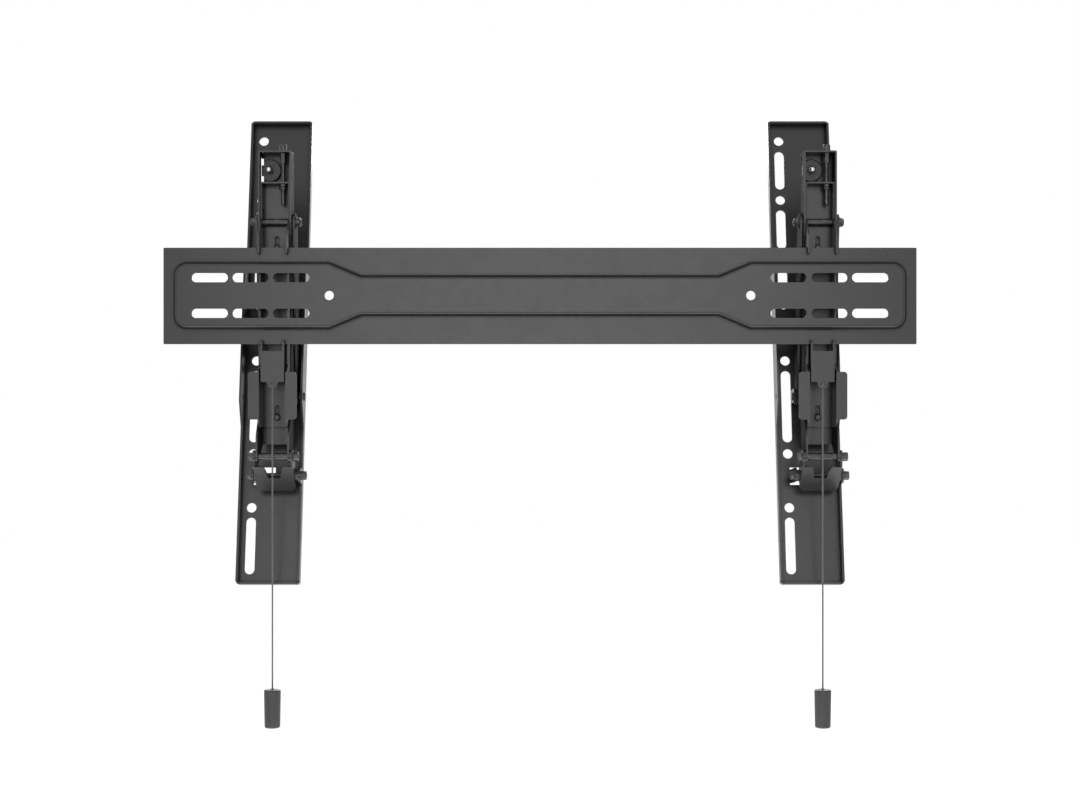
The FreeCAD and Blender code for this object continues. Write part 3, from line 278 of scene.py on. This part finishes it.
MATERIALS = {
    "powder_coat": powder_coat("powder_coat", 0.0),
    # The same coat with painted shade on its flanks that face left or right.
    "flank_shaded_coat": powder_coat("flank_shaded_coat", 1.0),
    "black_zinc": black_zinc(),
    "dark_wheel": bare_steel("dark_wheel", 0.035, 0.06, 0.4),
    "bright_stud": bare_steel("bright_stud", 0.4, 0.6, 0.28),
    "spring_steel": bare_steel("spring_steel", 0.35, 0.5, 0.3),
    "grey_cord": cord_material(),
    "grey_plastic": handle_material(),
}

for name, thing in nodes.items():
    chosen = MATERIALS[SLOTS[name]]
    # The carriages and upper links get the coat with painted shade on their sideways flanks.
    if name.endswith(("_carriage", "_upper_link")):
        chosen = MATERIALS["flank_shaded_coat"]
    for index in range(len(thing.material_slots)):
        thing.material_slots[index].material = chosen


# Ways to make a piece


def finish_piece(thing, material, body):
    """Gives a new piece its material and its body."""
    thing.data.materials.append(MATERIALS[material])
    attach(thing, body)
    return thing


def meshed(name, mesh, shape):
    """Shades a shape smooth with crisp edges and puts it in the scene."""
    bmesh.ops.recalc_face_normals(shape, faces=shape.faces)
    for face in shape.faces:
        face.smooth = True
    shape.to_mesh(mesh)
    shape.free()
    mesh.set_sharp_from_angle(angle=math.radians(32))
    thing = bpy.data.objects.new(name, mesh)
    bpy.context.collection.objects.link(thing)
    return thing


def join_rings(shape, low, high):
    """Faces between two rings of corners, each of them a full ring or a single point."""
    count = max(len(low), len(high))
    for step in range(count):
        after = (step + 1) % count
        corners = []
        for ring, place in ((low, step), (low, after), (high, after), (high, step)):
            corner = ring[place % len(ring)]
            if corner not in corners:
                corners.append(corner)
        shape.faces.new(corners)


def arc(middle, radius, first, last, steps):
    """The points of an arc about a middle, from one angle in degrees to another."""
    points = []
    for step in range(steps + 1):
        angle = math.radians(first + (last - first) * step / steps)
        points.append(
            (middle[0] + radius * math.cos(angle), middle[1] + radius * math.sin(angle))
        )
    return points


def turned(name, profile, centre, axis="Z", segments=48, trim=None):
    """A piece turned about an axis through a centre, from a profile of radius and height.
    A profile that doesn't start on the axis is closed. A trim moves each point of the profile
    by its angle, for a piece cut out of round."""
    mesh = bpy.data.meshes.new(name)
    shape = bmesh.new()
    rows = []
    for radius, height in profile:
        ring = []
        for step in range(segments if radius else 1):
            angle = TURN * step / segments
            reach, along = trim(radius, height, angle) if trim else (radius, height)
            across, up = reach * math.cos(angle), reach * math.sin(angle)
            place = (across, up, along) if axis == "Z" else (across, along, up)
            ring.append(shape.verts.new(Vector(centre) + Vector(place)))
        rows.append(ring)
    if profile[0][0]:
        rows.append(rows[0])
    for low, high in zip(rows, rows[1:]):
        join_rings(shape, low, high)
    too_near = 0.000002
    bmesh.ops.remove_doubles(shape, verts=shape.verts, dist=too_near)
    bmesh.ops.dissolve_degenerate(shape, dist=too_near, edges=shape.edges)
    return meshed(name, mesh, shape)


def tube_curve(name, points, radius):
    """A round tube along a smooth spline with these control points."""
    data = bpy.data.curves.new(name, "CURVE")
    data.dimensions = "3D"
    data.bevel_depth = radius
    data.bevel_resolution = 4
    data.resolution_u = 12
    spline = data.splines.new("NURBS")
    spline.points.add(len(points) - 1)
    for point, place in zip(spline.points, points):
        point.co = (*place, 1.0)
    spline.use_endpoint_u = True
    spline.order_u = 3
    data.use_fill_caps = True
    thing = bpy.data.objects.new(name, data)
    bpy.context.collection.objects.link(thing)
    return thing


# The thumbwheel and its stud. Heights are along y, from the wall plane toward the room.

WHEEL_SIDE, WHEEL_Z = -0.0064, 0.1174
WHEEL_RIM, WHEEL_BORE, WHEEL_EDGE = 0.0103, 0.0026, 0.0006
WHEEL_FACE, WHEEL_BACK = 0.0295, 0.034
NOTCHES, NOTCH_DEPTH = 24, 0.0004
LUG_REACH, FLAT_REACH, LUG_HALF = 0.0078, 0.0054, 0.0049
WHEEL_RINGS = ((0.0090, 0.0077), (0.0064, 0.0053))
RING_DEPTH, RING_SLOPE = 0.0004, 0.0002
STAR_INNER, STAR_OUTER = 0.0040, 0.0047
STAR_POINTS, STAR_DEPTH = 10, 0.00032


def wheel_trim(radius, height, angle):
    """The rim is finely notched and cut flat on one side but for a lug, and the hollow round
    the boss is a star."""
    turn = abs(math.remainder(angle - math.pi, TURN))
    reach = WHEEL_RIM - NOTCH_DEPTH * max(0.0, math.cos(NOTCHES * angle)) ** 4
    if turn < math.atan2(LUG_HALF, LUG_REACH):
        reach = LUG_REACH / math.cos(turn)
    elif turn < math.atan2(LUG_HALF, FLAT_REACH):
        reach = LUG_HALF / math.sin(turn)
    elif turn < math.acos(FLAT_REACH / reach):
        reach = FLAT_REACH / math.cos(turn)
    if radius >= WHEEL_RIM - WHEEL_EDGE:
        return reach - (WHEEL_RIM - radius), height
    if radius > reach - WHEEL_EDGE:
        return reach - WHEEL_EDGE, WHEEL_FACE
    if STAR_INNER < radius < STAR_OUTER:
        radius += STAR_DEPTH * math.cos(STAR_POINTS * angle)
    return radius, height


def thumbwheel(side, x):
    """The thumbwheel with pressed rings round a star-shaped hollow, and the domed stud in it."""
    face = WHEEL_FACE
    profile = [
        (WHEEL_BORE, WHEEL_BACK),
        (WHEEL_RIM - WHEEL_EDGE, WHEEL_BACK),
        (WHEEL_RIM, WHEEL_BACK - WHEEL_EDGE),
        (WHEEL_RIM, face + WHEEL_EDGE),
        (WHEEL_RIM - WHEEL_EDGE, face),
    ]
    for outer, inner in WHEEL_RINGS:
        profile += [
            (outer, face),
            (outer - RING_SLOPE, face + RING_DEPTH),
            (inner + RING_SLOPE, face + RING_DEPTH),
            (inner, face),
        ]
    hollow, boss, sunk = face + 0.0017, face - 0.0007, face - 0.001
    profile += [(0.00455, face), (0.0044, hollow), (0.0034, hollow), (0.0033, boss)]
    profile += [(0.0030, sunk), (WHEEL_BORE, sunk)]
    centre = (x + WHEEL_SIDE, 0.0, WHEEL_Z)
    wheel = turned(side + "_ringed_wheel", profile, centre, "Y", 144, wheel_trim)
    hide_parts(side + "_thumbwheel")
    finish_piece(wheel, "dark_wheel", side + "_wheel")

    radius, collar, front, end = 0.0025, 0.0035, 0.019, 0.036
    collar_front, collar_back = 0.0341, 0.0345
    dome_steps, dome_share = 8, 0.8
    profile = [(0, front)]
    for step in range(1, dome_steps + 1):
        angle = math.radians(90 * step / dome_steps)
        rise = radius * dome_share * (1 - math.cos(angle))
        profile.append((radius * math.sin(angle), front + rise))
    profile += [(radius, collar_front), (collar, collar_front), (collar, collar_back)]
    profile += [(radius, collar_back), (radius, end), (0, end)]
    stud = turned(side + "_domed_stud", profile, centre, "Y")
    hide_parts(side + "_wheel_stud")
    finish_piece(stud, "bright_stud", side + "_carrier")


# The level screw's nut and the latch's spring

SCREW_SIDE, SCREW_Y, NUT_BORE = 0.0068, 0.0232, 0.00205
SPRING_Y, SPRING_WIRE, SPRING_REACH = 0.012, 0.00045, 0.00305
SPRING_LOW, SPRING_HIGH, SPRING_TURNS = -0.0744, -0.052, 7


def flanged_nut(side, x):
    """The round nut under the hook channel's tab, in two tiers with a groove between them."""
    upper_tier = [(0.0034, 0.104), (0.0037, 0.1037), (0.0037, 0.1017), (0.0034, 0.1014)]
    groove = [(0.0033, 0.1009), (0.0035, 0.1006)]
    lower_tier = [(0.0039, 0.1003), (0.0039, 0.0993), (0.0036, 0.0989)]
    profile = [(NUT_BORE, 0.104), *upper_tier, *groove, *lower_tier, (NUT_BORE, 0.0989)]
    nut = turned(side + "_flanged_nut", profile, (x + SCREW_SIDE, SCREW_Y, 0.0))
    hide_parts(side + "_level_nut")
    finish_piece(nut, "black_zinc", side + "_hanger")


def coil_spring(side, x):
    """The latch's coil of round wire with closed ends, made at one length; the real coil shortens
    as the latch comes down.
    """
    name = side + "_coil_spring"
    around, per_turn = 10, 30
    # In millimetres: the rise of the wire's middle, and its share in the two closed turns
    rise, closed_pitch = 21.5, 0.9
    open_pitch = (rise - 2 * closed_pitch) / (SPRING_TURNS - 2)
    shape = bmesh.new()
    rings = []
    for step in range(SPRING_TURNS * per_turn + 1):
        turn = step / per_turn
        closed = min(turn, 1.0) + max(0.0, turn - SPRING_TURNS + 1)
        share = (closed * closed_pitch + (turn - closed) * open_pitch) / rise
        span = SPRING_HIGH - SPRING_LOW - 2 * SPRING_WIRE
        height = SPRING_LOW + SPRING_WIRE + share * span
        angle = TURN * turn
        ring = []
        for corner in range(around):
            lean = TURN * corner / around
            reach = SPRING_REACH + SPRING_WIRE * math.cos(lean)
            place = (
                x + reach * math.cos(angle),
                SPRING_Y + reach * math.sin(angle),
                height + SPRING_WIRE * math.sin(lean),
            )
            ring.append(shape.verts.new(place))
        rings.append(ring)
    for low, high in zip(rings, rings[1:]):
        join_rings(shape, low, high)
    shape.faces.new(rings[0])
    shape.faces.new(rings[-1])
    spring = meshed(name, bpy.data.meshes.new(name), shape)
    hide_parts(side + "_latch_spring")
    finish_piece(spring, "spring_steel", side + "_hanger")
    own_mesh(spring)


# Fillings on the uprights, measured across and up their sheets

UPRIGHT_TILT, UPRIGHT_SIDE = math.radians(12), -0.00685
NOTCH_X, NOTCH_TOP, NOTCH_FOOT, BEND_RADIUS, WELD_LAP = 0.027, 0.19295, -0.25205, 0.0023, 0.0004
WELD_DEPTHS, SHEET_DEPTHS = (0.0727, 0.0812), (0.0796, 0.0814)
EAR_BACK, WINDOW_END, EAR_Z, EAR_HALF, WINDOW_HALF = -0.0137, 0.0054, -0.07695, 0.0062, 0.0085


def on_upright(name, side, x, prisms):
    """Small fillings on an upright: outlines across and up its tilted sheet, each between
    two depths."""
    shape = bmesh.new()
    for points, depths in prisms:
        rings = []
        for depth in depths:
            ring = []
            for across, up in points:
                along = depth * math.cos(UPRIGHT_TILT) + up * math.sin(UPRIGHT_TILT)
                height = up * math.cos(UPRIGHT_TILT) - depth * math.sin(UPRIGHT_TILT)
                ring.append(shape.verts.new((x + UPRIGHT_SIDE + across, along, height)))
            rings.append(ring)
            shape.faces.new(ring)
        join_rings(shape, *rings)
    thing = meshed(side + name, bpy.data.meshes.new(side + name), shape)
    finish_piece(thing, "powder_coat", side + "_screen_arm")


def upright_joins(side, x):
    """The welds in the four corners of an upright, rounded like its bends, and the two strips
    that hold the link ear to the sheet and close its window above and below it."""
    welds = []
    for turn_x in (-1, 1):
        for corner_z, turn_z in ((NOTCH_TOP, 1), (NOTCH_FOOT, -1)):
            points = [(turn_x * (NOTCH_X - WELD_LAP), corner_z - turn_z * WELD_LAP)]
            for across, up in arc((NOTCH_X, 0.0), BEND_RADIUS, 0, 90, 6):
                points.append((turn_x * across, corner_z + turn_z * up))
            welds.append((points, WELD_DEPTHS))
    on_upright("_corner_welds", side, x, welds)
    strips = []
    for turn_z in (-1, 1):
        low, high = EAR_Z + turn_z * EAR_HALF, EAR_Z + turn_z * WINDOW_HALF
        corners = [(EAR_BACK, low), (WINDOW_END, low), (WINDOW_END, high), (EAR_BACK, high)]
        strips.append((corners, SHEET_DEPTHS))
    on_upright("_ear_necks", side, x, strips)


# The pull cord with its knot and handle

CORD_Y, CORD_RADIUS = 0.00225, 0.00075
CORD_TOP, CORD_END = -0.0831, -0.3597
HANDLE_TOP, HANDLE_LENGTH = -0.3582, 0.0348
HANDLE_TOP_RADIUS, HANDLE_END_RADIUS, HANDLE_SOFT = 0.00765, 0.0071, 0.0016
MOUTH_RADIUS, MOUTH_DEPTH, MOUTH_SOFT = 0.002, 0.0015, 0.0006


def pull_handle(side, x):
    """The pull handle: a slim tapered barrel with a rounded mouth and a soft end."""
    top, end, soft = HANDLE_TOP_RADIUS, HANDLE_END_RADIUS, HANDLE_SOFT
    profile = [
        (0, -MOUTH_DEPTH),
        (MOUTH_RADIUS * 0.9, -MOUTH_DEPTH),
        (MOUTH_RADIUS, -MOUTH_DEPTH + 0.0002),
    ]
    profile += arc((MOUTH_RADIUS + MOUTH_SOFT, -MOUTH_SOFT), MOUTH_SOFT, 180, 90, 4)
    profile += arc((top - soft, -soft), soft, 90, 0, 6)
    for step in range(1, 6):
        part = step / 6
        profile.append((top + (end - top) * part, -soft - (HANDLE_LENGTH - 2 * soft) * part))
    profile += arc((end - soft, soft - HANDLE_LENGTH), soft, 0, -90, 6)
    profile.append((0, -HANDLE_LENGTH))
    handle = turned(side + "_cord_handle", profile, (x, CORD_Y, HANDLE_TOP))
    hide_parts(side + "_pull_handle")
    return finish_piece(handle, "grey_plastic", side + "_catch")


def cord_knot(side, x):
    """A small overhand knot of the cord, pulled tight in the latch's keyhole."""
    steps, share_of_turn, start = 18, 0.94, 0.6
    size, depth, middle_z, tight_radius = 0.00092, 0.00115, -0.0812, 0.00062
    points = []
    for step in range(steps + 1):
        angle = TURN * step / steps * share_of_turn + start
        around = size * (1.35 + 0.55 * math.cos(3 * angle))
        points.append(
            (
                x + around * math.cos(2 * angle),
                CORD_Y + depth * math.sin(3 * angle),
                middle_z + around * 1.05 * math.sin(2 * angle),
            )
        )
    knot = tube_curve(side + "_tight_knot", points, tight_radius)
    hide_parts(side + "_cord_knot")
    return finish_piece(knot, "grey_cord", side + "_catch")


for side, x in SIDES.items():
    thumbwheel(side, x)
    flanged_nut(side, x)
    coil_spring(side, x)
    upright_joins(side, x)
    handle = pull_handle(side, x)
    knot = cord_knot(side, x)
    stations = [(x, CORD_Y, z) for z in (CORD_TOP, -0.16, -0.25, CORD_END)]
    line = tube_curve(side + "_cord", stations, CORD_RADIUS)
    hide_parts(side + "_pull_cord")
    finish_piece(line, "grey_cord", side + "_catch")


# Pale floor, far below, which fades into the white surroundings

REACH, GROUND = 12.0, -1.15
corners = [(-REACH, -REACH), (REACH, -REACH), (REACH, REACH), (-REACH, REACH)]
floor_mesh = bpy.data.meshes.new("floor")
floor_mesh.from_pydata([(*corner, GROUND) for corner in corners], [], [(0, 1, 2, 3)])
floor = bpy.data.objects.new("floor", floor_mesh)
bpy.context.collection.objects.link(floor)
floor_material, tree, shader = new_material("pale_floor")
tone = ramp(tree, noise(tree, 3.0), [(0.3, (0.86, 0.86, 0.86)), (0.7, (0.9, 0.9, 0.9))])
tree.links.new(tone, shader.inputs["Base Color"])
shader.inputs["Roughness"].default_value = 0.9
shader.inputs["Emission Color"].default_value = (1.0, 1.0, 1.0, 1.0)
rays = tree.nodes.new("ShaderNodeLightPath")
place = tree.nodes.new("ShaderNodeTexCoord")
distance = tree.nodes.new("ShaderNodeVectorMath")
distance.operation = "LENGTH"
tree.links.new(place.outputs["Object"], distance.inputs[0])
glow = level(tree, distance.outputs["Value"], 1.2, 3.6, 0.6, 1.0)
glow = math_node(tree, "MULTIPLY", rays.outputs["Is Camera Ray"], glow)
glow = math_node(tree, "MAXIMUM", glow, rays.outputs["Is Glossy Ray"])
tree.links.new(glow, shader.inputs["Emission Strength"])
floor.data.materials.append(floor_material)


# White surroundings where they are seen or mirrored, and dim ones for all other light

world = bpy.data.worlds.new("studio")
bpy.context.scene.world = world
world.use_nodes = True
tree = world.node_tree
tree.nodes.clear()


def background(strength):
    """A white background of a given strength."""
    node = tree.nodes.new("ShaderNodeBackground")
    node.inputs["Color"].default_value = (1.0, 1.0, 1.0, 1.0)
    node.inputs["Strength"].default_value = strength
    return node.outputs["Background"]


output = tree.nodes.new("ShaderNodeOutputWorld")
dim, white = background(0.06), background(1.0)
rays = tree.nodes.new("ShaderNodeLightPath")
choose = tree.nodes.new("ShaderNodeMixShader")
seen = rays.outputs["Is Camera Ray"]
for other in ("Is Transmission Ray", "Is Glossy Ray"):
    seen = math_node(tree, "MAXIMUM", seen, rays.outputs[other])
tree.links.new(seen, choose.inputs["Fac"])
tree.links.new(dim, choose.inputs[1])
tree.links.new(white, choose.inputs[2])
tree.links.new(choose.outputs["Shader"], output.inputs["Surface"])


# Lamps, each with its place, what it looks at, its size and its power in watts

LAMPS = {
    "front_lamp": ((0.0, -2.3, 0.2), (0.0, 0.0, -0.05), (1.35, 1.5), 15),
    "top_lamp": ((0.0, -0.9, 1.6), (0.0, 0.05, -0.05), (1.8, 0.8), 6),
    "low_lamp": ((0.0, -0.12, -0.72), (0.0, -0.1, 0.0), (1.3, 0.4), 3.5),
    "left_lamp": ((-1.7, -1.3, 0.1), (-0.1, 0.05, -0.05), (0.25, 1.6), 2),
    "right_lamp": ((1.7, -1.3, 0.1), (0.1, 0.05, -0.05), (0.25, 1.6), 2),
    "room_lamp": ((0.0, 2.2, 1.0), (0.0, 0.0, -0.05), (1.8, 1.2), 40),
}

for name, (place, target, size, power) in LAMPS.items():
    data = bpy.data.lights.new(name, "AREA")
    data.shape = "RECTANGLE"
    data.size, data.size_y = size
    data.energy = power
    lamp = bpy.data.objects.new(name, data)
    lamp.location = place
    lamp.rotation_euler = (Vector(target) - Vector(place)).to_track_quat("-Z", "Y").to_euler()
    bpy.context.collection.objects.link(lamp)

bpy.context.scene.view_settings.view_transform = "Standard"
